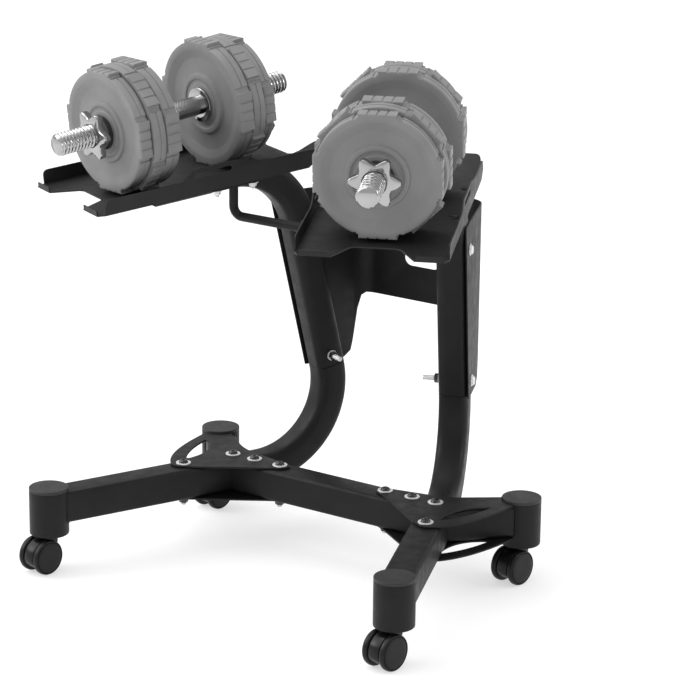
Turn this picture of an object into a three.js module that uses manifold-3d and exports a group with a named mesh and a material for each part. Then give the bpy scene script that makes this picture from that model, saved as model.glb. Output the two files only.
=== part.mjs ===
// A wheeled two-tray dumbbell stand, with a pair of adjustable dumbbells at rest on its trays.
// Millimetres, +Z up. +X runs to the right along the base beam, and the long legs and the low ends of
// the trays point to the front, -Y. The stand is symmetric about the plane x = 0: side pieces are
// modelled on the right and mirrored. It is modelled with the beam's axis on y = 0, and the whole
// group is moved at the end so that the origin is on the floor under the object's middle.
import * as THREE from "three";
import { mergeVertices } from "three/addons/utils/BufferGeometryUtils.js";
import Module from "manifold-3d";

const wasm = await Module();
wasm.setup();

// ---------------------------------------------------------------- driving dimensions
const GAP = 0.3; // clearance between pieces that touch
const DEG = Math.PI / 180;

const WALL = 2; // steel tube wall
const TUBE = 50; // square tubes of the base
const TUBE_TOP = 129;
const TUBE_BOTTOM = TUBE_TOP - TUBE;
const TUBE_MID = TUBE_TOP - TUBE / 2;
const BEAM_HALF = 212;

const CUP_R = 31; // steel cups on the legs' ends
const CUP_BOTTOM = 60;
const CUP_TOP = 131;
const CUP_FLOOR = 14; // thickness of a cup's bottom, which holds the caster's stem
const CAP_T = 5;
const FRONT_CUP = [325, -305.5];
const BACK_CUP = [292.8, 95.6];
const FRONT_LEG_START = [197, 0];
const BACK_LEG_START = [207.4, -7.3];

const STEM_R = 5;
const WHEEL_R = 28;
const WHEEL_T = 11;
const WEB_T = 20; // the caster's hood between its wheels
const CASTER_TRAIL = 19; // axle behind the stem
const CASTER_TURN = -7.5 * DEG;

const GUSSET_T = 3;
const BOLTS = { a: [101.8, 0], b: [152.1, 0], c: [195.4, 0], d: [232, -83.3] };
const BOLT_R = 4;
const HOLE_R = 4.5;

const POST_TOE = 24 * DEG; // a post's upright plane, turned from the Y axis
const POST_FOOT = [125.5, 158]; // where s = 0 in that plane
const POST_W = 48;
const POST_D = 50;
const POST_CORNER = 14;
const POST_LEAN = 13 * DEG;
const LOW_BEND_R = 130; // centre-line radii of the two bends
const TOP_BEND_R = 120;
const LOW_BEND_CENTRE = [-125, 234];
const POST_END_S = -320; // how far the post runs forward under its tray
const SPIGOT = 50; // length of the lower tube's spigot inside the upper tube
const POST_BOLTS = [[-2.5, 281], [-54, 508]]; // [s, z]

const PANEL_T = 2;
const PANEL_Y = 250; // back panel's middle section
const PANEL_BEND_R = 36;
const PANEL_Z = [256, 552];
const PANEL_SLOT = { reach: 21, z: 436, r: 13 }; // a long hole: its end arcs' centres and radius
// Right half of the opening under the middle section, as [x, z] points from its foot to its top.
const PANEL_OPENING = [
  [134, 251], [128, 258], [123.5, 267], [122, 282], [120, 308], [117.5, 338], [113, 360], [106, 365.5],
];

const TRAY_TOE = 25 * DEG;
const TRAY_TILT = 6 * DEG;
const TRAY_CORNER = [171, -345, 603.5]; // inner front corner of a tray's floor, on its upper face
const TRAY_L = 345; // floor, front edge to rear fold
const TRAY_W = 222;
const SHEET = 2;
const RAMP_ANGLE = 30 * DEG;
const TONGUE = 11; // how far the front tongues reach past the floor's edge
const NOTCH = { depth: 32, inner: 57, outer: 170, backInner: 78, backOuter: 146 };
const BRACKET = { u: 235, v: 166, length: 150, width: 96, thick: 4 };

const HANDLE = { u: 221, v: 12, r: 7, z: 575, bend: 16, plate: [86, 20, 3] };

const BELL_U = 178; // middle of a dumbbell along its tray
const LEFT_SKEW = 10 * DEG; // the left dumbbell lies slightly across its tray
const BAR_HALF = 215;
const THREAD_R = 17;
const GRIP = { half: 50, r: 15 };
const COLLAR = { t: 6, r: 27 };
const PLATES = [
  { name: "inner", thick: 26, rim: 97, turn: 0 },
  { name: "middle", thick: 24, rim: 97, turn: 45 * DEG },
  { name: "outer", thick: 22, rim: 92, turn: 0 },
];
const PAD_RISE = 1; // the middle of a plate's flat pads stands this far above its round rim
const PAD_HALF = 17 * DEG;
const RING = { t: 6, r: 26 };
const STAR = { t: 19, tip: 39, valley: 27, lobes: 6, hub: 7 };

// ---------------------------------------------------------------- materials
const paint = (color, roughness, metalness) =>
  new THREE.MeshStandardMaterial({ color, roughness, metalness });
const POWDER = paint(0x1b1b1c, 0.55, 0.3);
const CAP_PLASTIC = paint(0x232324, 0.5, 0);
const CASTER_PLASTIC = paint(0x0f0f10, 0.35, 0);
const ZINC = paint(0xc9c9c6, 0.3, 1);
const CHROME = paint(0xd5d5d3, 0.12, 1);
const PLATE_PLASTIC = paint(0x2b2b2c, 0.6, 0);
const RUBBER = paint(0x151515, 0.85, 0);

// ---------------------------------------------------------------- solids
const group = new THREE.Group();

// Corner positions only, moved by a matrix. A mirroring matrix turns each triangle round again.
function moved(geometry, matrix) {
  const source = geometry.index ? geometry.toNonIndexed() : geometry;
  const g = new THREE.BufferGeometry();
  g.setAttribute("position", source.getAttribute("position").clone());
  g.applyMatrix4(matrix);
  if (matrix.determinant() > 0) return g;
  const p = g.getAttribute("position");
  const [a, b] = [new THREE.Vector3(), new THREE.Vector3()];
  for (let i = 0; i < p.count; i += 3) {
    a.fromBufferAttribute(p, i + 1);
    b.fromBufferAttribute(p, i + 2);
    p.setXYZ(i + 1, b.x, b.y, b.z);
    p.setXYZ(i + 2, a.x, a.y, a.z);
  }
  return g;
}

const NOWHERE = new THREE.Matrix4();

function solid(geometry, matrix = NOWHERE) {
  const merged = mergeVertices(moved(geometry, matrix), 1e-4);
  return new wasm.Manifold(
    new wasm.Mesh({
      numProp: 3,
      vertProperties: merged.attributes.position.array,
      triVerts: new Uint32Array(merged.index.array),
    }),
  );
}

function geometryOf(manifold) {
  const { vertProperties, triVerts } = manifold.getMesh();
  const g = new THREE.BufferGeometry();
  g.setAttribute("position", new THREE.BufferAttribute(vertProperties, 3));
  g.setIndex(new THREE.BufferAttribute(triVerts, 1));
  return g;
}

const join = (...parts) => parts.flat().reduce((a, b) => a.add(b));
const cut = (body, ...tools) => tools.flat().reduce((a, b) => a.subtract(b), body);

function addGeometry(name, geometry, material) {
  geometry.computeVertexNormals();
  const mesh = new THREE.Mesh(geometry, material);
  mesh.name = name;
  group.add(mesh);
}

const add = (name, manifold, material) => addGeometry(name, geometryOf(manifold), material);

// The piece as modelled on the right, and its mirror image on the left.
const MIRROR = new THREE.Matrix4().makeScale(-1, 1, 1);
function addPair(name, manifold, material) {
  add(`${name}_right`, manifold, material);
  addGeometry(`${name}_left`, moved(geometryOf(manifold), MIRROR), material);
}

// An upright cylinder between two heights.
function upright([x, y], r, z0, z1, sides = 24) {
  const g = new THREE.CylinderGeometry(r, r, z1 - z0, sides);
  return solid(g.rotateX(Math.PI / 2).translate(x, y, (z0 + z1) / 2));
}

// A box between two corners.
function box([x0, x1], [y0, y1], [z0, z1]) {
  const g = new THREE.BoxGeometry(x1 - x0, y1 - y0, z1 - z0);
  return solid(g.translate((x0 + x1) / 2, (y0 + y1) / 2, (z0 + z1) / 2));
}

const extruded = (shape, depth, curveSegments = 6) =>
  new THREE.ExtrudeGeometry(shape, { depth, bevelEnabled: false, curveSegments });

const polygon = (points) => new THREE.Shape(points.map((p) => new THREE.Vector2(...p)));
const ahead = ([x, y], [dx, dy], d) => [x + dx * d, y + dy * d];
const basis = (x, y, z, at) =>
  new THREE.Matrix4()
    .makeBasis(new THREE.Vector3(...x), new THREE.Vector3(...y), new THREE.Vector3(...z))
    .setPosition(...at);

// ---------------------------------------------------------------- base beam and legs
const bores = (names, z0, z1) => names.map((n) => upright(BOLTS[n], HOLE_R, z0, z1, 10));
const mirrorX = ([x, y]) => [-x, y];

function baseBeam() {
  const [half, inside] = [TUBE / 2, TUBE / 2 - WALL];
  const beam = box([-BEAM_HALF, BEAM_HALF], [-half, half], [TUBE_BOTTOM, TUBE_TOP]);
  const hollow = box(
    [-BEAM_HALF - 1, BEAM_HALF + 1], [-inside, inside], [TUBE_BOTTOM + WALL, TUBE_TOP - WALL],
  );
  const right = ["a", "b", "c"].map((n) => BOLTS[n]);
  const drills = [...right, ...right.map(mirrorX)].map((at) =>
    upright(at, HOLE_R, TUBE_BOTTOM - 1, TUBE_TOP + 1, 10),
  );
  add("base_beam", cut(beam, hollow, drills), POWDER);
}

// The space in front of the beam's back face, out to an end: legs and posts are cut to it.
const beamSpace = (end) =>
  box([-end, end], [-2 * end, TUBE / 2 + GAP], [TUBE_BOTTOM - 30, TUBE_TOP + 30]);

// The cup on a leg's end: open at the top for its cap, with a bore for the caster's stem.
const cupParts = (at) => ({
  outer: upright(at, CUP_R, CUP_BOTTOM, CUP_TOP, 28),
  hollow: upright(at, CUP_R - WALL, CUP_BOTTOM + CUP_FLOOR, CUP_TOP + 1, 28),
  bore: upright(at, STEM_R + 0.5, CUP_BOTTOM - 1, CUP_BOTTOM + CUP_FLOOR + 1, 12),
});

// A square tube from a plan point to a cup's centre, as its outer and inner boxes.
function legTube(from, to) {
  const [dx, dy] = [to[0] - from[0], to[1] - from[1]];
  const length = Math.hypot(dx, dy);
  const matrix = basis(
    [dx / length, dy / length, 0], [-dy / length, dx / length, 0], [0, 0, 1], [...from, TUBE_MID],
  );
  const bar = (size, start, end) =>
    solid(new THREE.BoxGeometry(end - start, size, size).translate((start + end) / 2, 0, 0), matrix);
  return { outer: bar(TUBE, 0, length), inner: bar(TUBE - 2 * WALL, -1, length - CUP_R + 1) };
}

function legs() {
  const front = legTube(FRONT_LEG_START, FRONT_CUP);
  const frontCup = cupParts(FRONT_CUP);
  const behindFront = box([0, 400], [-TUBE / 2 - GAP, 100], [0, 200]);
  const frontTube = cut(front.outer, front.inner, behindFront);
  const drill = bores(["d"], TUBE_BOTTOM - 1, TUBE_TOP + 1);
  const frontLeg = cut(frontTube.add(frontCup.outer), frontCup.hollow, frontCup.bore, drill);
  addPair("front_leg", frontLeg, POWDER);

  const back = legTube(BACK_LEG_START, BACK_CUP);
  const backCup = cupParts(BACK_CUP);
  const inFront = box([0, 400], [-200, -TUBE / 2], [0, 200]);
  const backTube = cut(back.outer, back.inner, beamSpace(BEAM_HALF + GAP), footSpace(), inFront);
  addPair("back_leg", cut(backTube.add(backCup.outer), backCup.hollow, backCup.bore), POWDER);

  for (const [name, at] of [["front_leg_cap", FRONT_CUP], ["back_leg_cap", BACK_CUP]]) {
    const disc = upright(at, CUP_R, CUP_TOP + GAP, CUP_TOP + GAP + CAP_T, 28);
    const plug = upright(at, CUP_R - WALL - GAP, CUP_TOP - 8, CUP_TOP + 1, 28);
    addPair(name, disc.add(plug), CAP_PLASTIC);
  }
}

// ---------------------------------------------------------------- gusset plates and bolts
// A tab round bolt a, a straight front edge to bolt d, a bowed outer edge to the back cup with a
// leaf-shaped window inside it, and a rear edge along the back leg and the post's foot.
function gussetShape() {
  const s = new THREE.Shape();
  s.moveTo(100, 14);
  s.quadraticCurveTo(84, 12, 87, 0);
  s.quadraticCurveTo(89, -12, 104, -16);
  s.lineTo(222, -94);
  s.quadraticCurveTo(236, -104, 248, -95);
  s.bezierCurveTo(272, -74, 292, -30, 299, 60);
  s.lineTo(280, 100);
  s.lineTo(262, 84);
  s.lineTo(213, 46);
  s.quadraticCurveTo(190, 30, 160, 26);
  s.closePath();
  const leaf = new THREE.Path();
  leaf.moveTo(243, -62);
  leaf.bezierCurveTo(259, -42, 272, -8, 276, 32);
  leaf.bezierCurveTo(252, 18, 228, -8, 243, -62);
  s.holes.push(leaf);
  return s;
}

const GUSSET_Z = {
  top: TUBE_TOP + GAP + 0.1,
  bottom: TUBE_BOTTOM - GAP - 0.1 - GUSSET_T,
};

function gussets() {
  for (const [name, z] of Object.entries(GUSSET_Z)) {
    const plate = solid(extruded(gussetShape(), GUSSET_T, 5).translate(0, 0, z));
    const cup = upright(BACK_CUP, CUP_R + GAP, z - 1, z + GUSSET_T + 1, 28);
    const drills = bores(Object.keys(BOLTS), z - 1, z + GUSSET_T + 1);
    addPair(`gusset_${name}`, cut(plate, cup, drills), POWDER);
  }
}

// Each bolt clamps both gusset plates: button head and washer above, washer and nut below.
function gussetBolts() {
  const above = GUSSET_Z.top + GUSSET_T + GAP;
  const below = GUSSET_Z.bottom - GAP;
  for (const [letter, at] of Object.entries(BOLTS)) {
    const bolt = join(
      upright(at, 12, above, above + 1.8, 12),
      upright(at, 7.5, above + 1.7, above + 5.5, 8),
      upright(at, BOLT_R, below - 11, above + 1, 6),
      upright(at, 8.5, below - 1.6, below, 8),
      upright(at, 7.5, below - 8, below - 1.5, 6),
    );
    addPair(`gusset_bolt_${letter}`, bolt, ZINC);
  }
}

// ---------------------------------------------------------------- posts
// Points in a post's upright plane are [s, z]: s runs back along the plane, z is the height.
const POST_MATRIX = basis(
  [-Math.sin(POST_TOE), Math.cos(POST_TOE), 0],
  [0, 0, 1],
  [Math.cos(POST_TOE), Math.sin(POST_TOE), 0],
  [...POST_FOOT, 0],
);

// An arc in the plane z = 0 of the path's own frame.
class FlatArc extends THREE.Curve {
  constructor(centre, r, from, to) {
    super();
    Object.assign(this, { centre, r, from, to });
  }
  getPoint(t, target = new THREE.Vector3()) {
    const a = this.from + (this.to - this.from) * t;
    const [x, y] = this.centre;
    return target.set(x + this.r * Math.cos(a), y + this.r * Math.sin(a), 0);
  }
}

const flatLine = (a, b) =>
  new THREE.LineCurve3(new THREE.Vector3(...a, 0), new THREE.Vector3(...b, 0));

function flatPath(...curves) {
  const path = new THREE.CurvePath();
  curves.forEach((c) => path.add(c));
  return path;
}

function sweep(section, path, steps, matrix = POST_MATRIX) {
  const settings = { extrudePath: path, steps, curveSegments: 2, bevelEnabled: false };
  return solid(new THREE.ExtrudeGeometry(section, settings), matrix);
}

// The post's rounded section, grown or shrunk all round: width across the plane, depth along it.
function postSection(grow = 0) {
  const r = POST_CORNER + grow;
  const [a, b] = [POST_W / 2 - POST_CORNER, POST_D / 2 - POST_CORNER];
  const s = new THREE.Shape();
  s.absarc(a, b, r, 0, Math.PI / 2);
  s.absarc(-a, b, r, Math.PI / 2, Math.PI);
  s.absarc(-a, -b, r, Math.PI, 1.5 * Math.PI);
  s.absarc(a, -b, r, 1.5 * Math.PI, 2 * Math.PI);
  return s;
}

const LEAN_DIR = [-Math.sin(POST_LEAN), Math.cos(POST_LEAN)];
const LEAN_NORMAL = [Math.cos(POST_LEAN), Math.sin(POST_LEAN)];
const JOINT = ahead(LOW_BEND_CENTRE, LEAN_NORMAL, LOW_BEND_R); // where upper tube meets lower
const BEAM_BACK_S = -(POST_FOOT[1] - TUBE / 2 - GAP) / Math.cos(POST_TOE);
const leanStretch = (a, b) =>
  flatPath(flatLine(ahead(JOINT, LEAN_DIR, a), ahead(JOINT, LEAN_DIR, b)));

const footSpace = () =>
  sweep(postSection(0.5), flatPath(flatLine([BEAM_BACK_S - 30, TUBE_MID], [-60, TUBE_MID])), 1);

const postBore = (at) =>
  solid(
    new THREE.CylinderGeometry(HOLE_R, HOLE_R, 80, 10).rotateX(Math.PI / 2).translate(...at, 0),
    POST_MATRIX,
  );

function lowerPosts() {
  const path = (start) =>
    flatPath(
      flatLine([start, TUBE_MID], [LOW_BEND_CENTRE[0], TUBE_MID]),
      new FlatArc(LOW_BEND_CENTRE, LOW_BEND_R, -Math.PI / 2, POST_LEAN),
    );
  const start = BEAM_BACK_S - 25;
  const tube = cut(
    sweep(postSection(), path(start), 10),
    sweep(postSection(-WALL), path(start - 1), 10),
    sweep(postSection(-WALL), leanStretch(-2, 2), 1),
  );
  // The spigot stands in the upper tube, and a weld ring holds it inside this one.
  const weld = sweep(postSection(-WALL / 2), leanStretch(-12, -2), 1);
  const spigot = sweep(postSection(-WALL - GAP), leanStretch(-14, SPIGOT), 1);
  const bore = sweep(postSection(-2 * WALL - GAP), leanStretch(-16, SPIGOT + 1), 1);
  const whole = tube.add(cut(weld.add(spigot), bore));
  const post = cut(whole, beamSpace(2 * BEAM_HALF), postBore(POST_BOLTS[0]));
  addPair("lower_post", post, POWDER);
}

// The upper bend turns the leaning line into one that runs forward under the tray's floor.
function upperBend() {
  const offset = [TRAY_CORNER[0] - POST_FOOT[0], POST_FOOT[1] - TRAY_CORNER[1]];
  const run = offset[0] * Math.sin(TRAY_TOE) + offset[1] * Math.cos(TRAY_TOE);
  const slope = Math.tan(TRAY_TILT);
  const drop = (SHEET + GAP + BRACKET.thick + POST_D / 2) / Math.cos(TRAY_TILT);
  const height = (s) => TRAY_CORNER[2] + slope * (run + s) - drop;
  const lean = Math.tan(POST_LEAN);
  const s = (JOINT[0] - (height(0) - JOINT[1]) * lean) / (1 + slope * lean);
  const turn = Math.PI / 2 - POST_LEAN + TRAY_TILT;
  const tangent = TOP_BEND_R * Math.tan(turn / 2);
  const from = ahead([s, height(s)], LEAN_DIR, -tangent);
  const trayDir = [-Math.cos(TRAY_TILT), -Math.sin(TRAY_TILT)];
  return {
    from,
    to: ahead([s, height(s)], trayDir, tangent),
    centre: ahead(from, LEAN_NORMAL, -TOP_BEND_R),
    end: [POST_END_S, height(POST_END_S)],
    turn,
    trayDir,
  };
}

function upperPosts() {
  const { from, to, centre, end, turn, trayDir } = upperBend();
  const path = flatPath(
    flatLine(ahead(JOINT, LEAN_DIR, GAP), from),
    new FlatArc(centre, TOP_BEND_R, POST_LEAN, POST_LEAN + turn),
    flatLine(to, end),
  );
  const tube = cut(
    sweep(postSection(), path, 17),
    sweep(postSection(-WALL), path, 17),
    sweep(postSection(-WALL), leanStretch(-2, 5), 1),
    sweep(postSection(-WALL), flatPath(flatLine(ahead(end, trayDir, -5), ahead(end, trayDir, 2))), 1),
  );
  const thick = BRACKET.thick + 1; // sunk 1 mm into the tube's top face, as its weld
  const bracket = new THREE.BoxGeometry(BRACKET.length, BRACKET.width, thick)
    .translate(BRACKET.u, BRACKET.v, -SHEET - GAP - thick / 2);
  const post = cut(tube.add(solid(bracket, TRAY_MATRIX)), POST_BOLTS.map(postBore));
  addPair("upper_post", post, POWDER);
}

// ---------------------------------------------------------------- back panel
// One bent sheet: wings on the posts' outer faces, joined behind them by a middle section.
function panelPlan() {
  const out = POST_W / 2 + 0.4 + PANEL_T / 2; // mid-plane of a wing, from the post's plane
  const dir = new THREE.Vector2(-Math.sin(POST_TOE), Math.cos(POST_TOE));
  const sideways = new THREE.Vector2(dir.y, -dir.x);
  const at = new THREE.Vector2(...POST_FOOT).addScaledVector(sideways, out);
  const corner = at.clone().addScaledVector(dir, (PANEL_Y - at.y) / dir.y);
  const turn = Math.PI / 2 - POST_TOE;
  const reach = PANEL_BEND_R * Math.tan(turn / 2);
  const centre = [corner.x - reach, PANEL_Y - PANEL_BEND_R];
  const half = (r) => {
    const s = new THREE.Path();
    s.absarc(...centre, r, POST_TOE, Math.PI / 2);
    return s.getPoints(5).map((p) => [p.x, p.y]);
  };
  const wing = (side) => {
    const p = at.clone().addScaledVector(dir, -130).addScaledVector(sideways, side);
    return [p.x, p.y];
  };
  const outer = [wing(PANEL_T / 2), ...half(PANEL_BEND_R + PANEL_T / 2)];
  const inner = [wing(-PANEL_T / 2), ...half(PANEL_BEND_R - PANEL_T / 2)];
  const whole = (points) => [...points, ...points.map(mirrorX).reverse()];
  return polygon([...whole(outer), ...whole(inner).reverse()]);
}

function backPanel() {
  const [low, high] = PANEL_Z;
  const [below, above] = [low - 5, high + 5];
  const sheet = solid(extruded(panelPlan(), high - low).translate(0, 0, low));
  const toFront = basis([1, 0, 0], [0, 0, 1], [0, -1, 0], [0, PANEL_Y + 150, 0]);
  const opening = polygon([...PANEL_OPENING, ...PANEL_OPENING.map(mirrorX).reverse()]);
  const { reach, z, r } = PANEL_SLOT;
  const slot = new THREE.Shape();
  slot.absarc(-reach, z, r, Math.PI / 2, 1.5 * Math.PI);
  slot.absarc(reach, z, r, -Math.PI / 2, Math.PI / 2);
  const holes = [opening, slot].map((shape) => solid(extruded(shape, 300), toFront));
  // The wings' front edges follow the posts' front faces.
  const front = (height) => JOINT[0] - (height - JOINT[1]) * Math.tan(POST_LEAN) - POST_D / 2 - 2;
  const inFront = extruded(
    polygon([[POST_END_S, below], [front(below), below], [front(above), above], [POST_END_S, above]]),
    80,
  );
  const wingBore = (at) =>
    new THREE.CylinderGeometry(HOLE_R, HOLE_R, 40, 10).rotateX(Math.PI / 2).translate(...at, 30);
  const tools = [inFront, ...POST_BOLTS.map(wingBore)].flatMap((tool) => [
    solid(tool, POST_MATRIX),
    solid(tool, MIRROR.clone().multiply(POST_MATRIX)),
  ]);
  add("back_panel", cut(sheet, holes, tools), POWDER);
}

// ---------------------------------------------------------------- trays
// Tray coordinates: u runs back along the floor, v outward across it, w up from it.
const TRAY_U = [
  -Math.sin(TRAY_TOE) * Math.cos(TRAY_TILT), Math.cos(TRAY_TOE) * Math.cos(TRAY_TILT), Math.sin(TRAY_TILT),
];
const TRAY_V = [Math.cos(TRAY_TOE), Math.sin(TRAY_TOE), 0];
const TRAY_UP = new THREE.Vector3(...TRAY_V).cross(new THREE.Vector3(...TRAY_U)).toArray();
const TRAY_MATRIX = basis(TRAY_U, TRAY_V, TRAY_UP, TRAY_CORNER);

function trayFloorShape() {
  const { depth, inner, outer, backInner, backOuter } = NOTCH;
  return polygon([
    [0, 0], [-TONGUE, 6], [-TONGUE, inner - 3], [4 - TONGUE, inner],
    [depth - 4, backInner - 3], [depth, backInner + 4],
    [depth, backOuter - 4], [depth - 4, backOuter + 3],
    [4 - TONGUE, outer], [-TONGUE, outer + 3], [-TONGUE, TRAY_W - 6], [0, TRAY_W],
    [TRAY_L + 0.6, TRAY_W], [TRAY_L + 0.6, 0],
  ]);
}

// The side flange in u, w: low in front, raised round its slot, lower again to the rear peak.
function flangeShape() {
  const s = new THREE.Shape();
  s.moveTo(2, -SHEET);
  s.lineTo(2, 14);
  s.quadraticCurveTo(3, 21, 10, 21.5);
  s.lineTo(126, 21.5);
  s.bezierCurveTo(140, 22, 142, 37, 156, 37.5);
  s.lineTo(214, 37.5);
  s.bezierCurveTo(240, 37.5, 250, 28, 280, 27);
  s.lineTo(352, 26);
  s.quadraticCurveTo(359, 25.5, 361, 20);
  s.lineTo(364, 9);
  s.lineTo(346, -SHEET);
  s.closePath();
  const slot = new THREE.Path();
  slot.absarc(156, 26.5, 4, Math.PI / 2, 1.5 * Math.PI);
  slot.absarc(211, 26.5, 4, -Math.PI / 2, Math.PI / 2);
  s.holes.push(slot);
  return s;
}

// The rear ramp, across the tray (x) and up the ramp (y): tall ends and a low scalloped middle.
function rampShape() {
  const s = new THREE.Shape();
  s.moveTo(1, -1);
  s.lineTo(6, 40);
  s.quadraticCurveTo(8, 50, 16, 50);
  s.lineTo(38, 50);
  s.bezierCurveTo(56, 50, 52, 9, 76, 8);
  s.lineTo(146, 8);
  s.bezierCurveTo(170, 9, 166, 50, 184, 50);
  s.lineTo(206, 50);
  s.quadraticCurveTo(214, 50, 216, 40);
  s.lineTo(TRAY_W - 1, -1);
  s.closePath();
  return s;
}

function trays() {
  const floor = extruded(trayFloorShape(), SHEET).translate(0, 0, -SHEET);
  const flange = (v) =>
    extruded(flangeShape(), SHEET, 4).rotateX(Math.PI / 2).translate(0, v + SHEET, 0);
  const lip = (v0, v1) =>
    new THREE.BoxGeometry(SHEET, v1 - v0, 8).translate(SHEET / 2 - TONGUE, (v0 + v1) / 2, 2.5);
  const [c, s] = [Math.cos(RAMP_ANGLE), Math.sin(RAMP_ANGLE)];
  const rampMatrix = basis([0, 1, 0], [c, 0, s], [s, 0, -c], [TRAY_L, 0, 0]);
  const ramp = moved(extruded(rampShape(), SHEET), rampMatrix);
  const pieces = [
    floor,
    flange(0),
    flange(TRAY_W - SHEET),
    lip(8, NOTCH.inner - 5),
    lip(NOTCH.outer + 5, TRAY_W - 8),
    ramp,
  ];
  const local = join(pieces.map((g) => solid(g)));
  addPair("tray", solid(geometryOf(local), TRAY_MATRIX), POWDER);
}

// ---------------------------------------------------------------- carry handle
// A round bar between the trays: its ends turn up to plates that bolt under the trays' floors.
function carryHandle() {
  const plateAt = [HANDLE.u, HANDLE.v, -SHEET - GAP - HANDLE.plate[2] / 2];
  const top = new THREE.Vector3(...plateAt).applyMatrix4(TRAY_MATRIX);
  const [x, z, b] = [top.x, HANDLE.z, HANDLE.bend];
  const path = flatPath(
    flatLine([x, top.z], [x, z + b]),
    new FlatArc([x - b, z + b], b, 0, -Math.PI / 2),
    flatLine([x - b, z], [b - x, z]),
    new FlatArc([b - x, z + b], b, -Math.PI / 2, -Math.PI),
    flatLine([-x, z + b], [-x, top.z]),
  );
  const section = new THREE.Shape().absarc(0, 0, HANDLE.r, 0, 2 * Math.PI);
  const settings = { extrudePath: path, steps: 24, curveSegments: 4, bevelEnabled: false };
  const bar = new THREE.ExtrudeGeometry(section, settings);
  const plate = new THREE.BoxGeometry(...HANDLE.plate).translate(...plateAt);
  const parts = [
    solid(bar, basis([1, 0, 0], [0, 0, 1], [0, -1, 0], [0, top.y, 0])),
    solid(plate, TRAY_MATRIX),
    solid(plate, MIRROR.clone().multiply(TRAY_MATRIX)),
  ];
  add("carry_handle", join(parts), POWDER);
}

// ---------------------------------------------------------------- casters
// A twin-wheel caster in its own frame: stem on the z axis, axle along x, trailing to the front.
function casters() {
  const disc = (r, x0, x1, sides) =>
    new THREE.CylinderGeometry(r, r, x1 - x0, sides)
      .rotateZ(Math.PI / 2)
      .translate((x0 + x1) / 2, -CASTER_TRAIL, WHEEL_R);
  const web = extruded(
    polygon([
      [9, 58], [9, 46], [5, 33], [-5, 14], [-35, 11], [-44, 18.8], [-46, 28], [-42.4, 41.5],
      [-32.5, 51.4], [-20, 55.5], [-8, 58],
    ]),
    WEB_T,
  );
  // The web is drawn in y, z and has its thickness along x.
  const webMatrix = basis([0, 1, 0], [0, 0, 1], [1, 0, 0], [-WEB_T / 2, 0, 0]);
  const body = cut(
    join(
      solid(web, webMatrix),
      upright([0, 0], 10, 52, CUP_BOTTOM - GAP, 20),
      upright([0, 0], STEM_R, 53, CUP_BOTTOM + CUP_FLOOR + 6, 16),
    ),
    solid(disc(3.4, -WEB_T, WEB_T, 10)),
  );
  const inner = WEB_T / 2 + 1;
  const wheels = join(
    solid(disc(WHEEL_R, inner, inner + WHEEL_T, 28)),
    solid(disc(WHEEL_R, -inner - WHEEL_T, -inner, 28)),
    solid(disc(3, -inner - 2, inner + 2, 8)),
  );
  const places = {
    front_right: FRONT_CUP,
    front_left: mirrorX(FRONT_CUP),
    back_right: BACK_CUP,
    back_left: mirrorX(BACK_CUP),
  };
  for (const [name, at] of Object.entries(places)) {
    const matrix = new THREE.Matrix4().makeRotationZ(CASTER_TURN).setPosition(...at, 0);
    addGeometry(`caster_body_${name}`, moved(geometryOf(body), matrix), CASTER_PLASTIC);
    addGeometry(`caster_wheels_${name}`, moved(geometryOf(wheels), matrix), CASTER_PLASTIC);
  }
}

// ---------------------------------------------------------------- dumbbells
// Dumbbell coordinates: x along the bar towards the back, y outward and z up from the tray.
const BELL_REST = PLATES[0].rim + PAD_RISE + 0.5; // bar's height over the floor
const BELL_MATRIX = TRAY_MATRIX.clone().multiply(
  new THREE.Matrix4().makeTranslation(BELL_U, TRAY_W / 2, BELL_REST),
);
const BELL_PLACES = {
  right: BELL_MATRIX,
  left: MIRROR.clone().multiply(BELL_MATRIX).multiply(new THREE.Matrix4().makeRotationZ(LEFT_SKEW)),
};
const alongBar = (g) => g.rotateZ(-Math.PI / 2);

function lathed(profile, sides) {
  const points = profile.map(([x, r]) => new THREE.Vector2(r, x));
  return alongBar(new THREE.LatheGeometry(points, sides));
}

function bar() {
  const end = BAR_HALF;
  const shoulder = GRIP.half + COLLAR.t;
  const half = [
    [GRIP.half, GRIP.r], [GRIP.half, COLLAR.r], [shoulder, COLLAR.r], [shoulder, THREAD_R],
    [end - 3, THREAD_R], [end, THREAD_R - 3], [end, 0],
  ];
  const back = half.map(([x, r]) => [-x, r]).reverse();
  return solid(lathed([...back, ...half], 20));
}

// A round plate with four flat-topped pads on its rim and a bore for the threaded sleeve.
function plateShape({ rim, turn }) {
  const flat = rim + PAD_RISE;
  const corner = flat / Math.cos(PAD_HALF);
  const points = [];
  for (let quarter = 0; quarter < 4; quarter++) {
    const middle = turn + (quarter * Math.PI) / 2;
    const polar = (r, a) => points.push([r * Math.cos(a), r * Math.sin(a)]);
    polar(corner, middle - PAD_HALF);
    polar(corner, middle + PAD_HALF);
    for (let i = 0; i <= 6; i++) {
      const a = middle + PAD_HALF + (i / 6) * (Math.PI / 2 - 2 * PAD_HALF);
      polar(rim, a);
    }
  }
  const s = polygon(points);
  s.holes.push(new THREE.Path().absarc(0, 0, THREAD_R + 0.6, 0, 2 * Math.PI));
  return s;
}

// A star nut's outline: rounded lobes with hollow flanks between them.
function starShape() {
  const points = [];
  const count = STAR.lobes * 6;
  const [mid, swing] = [(STAR.tip + STAR.valley) / 2, (STAR.tip - STAR.valley) / 2];
  for (let i = 0; i < count; i++) {
    const a = (2 * Math.PI * i) / count;
    const r = mid + swing * Math.cos(STAR.lobes * a);
    points.push([r * Math.cos(a), r * Math.sin(a)]);
  }
  const s = polygon(points);
  s.holes.push(new THREE.Path().absarc(0, 0, THREAD_R + 0.4, 0, 2 * Math.PI));
  return s;
}

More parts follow.
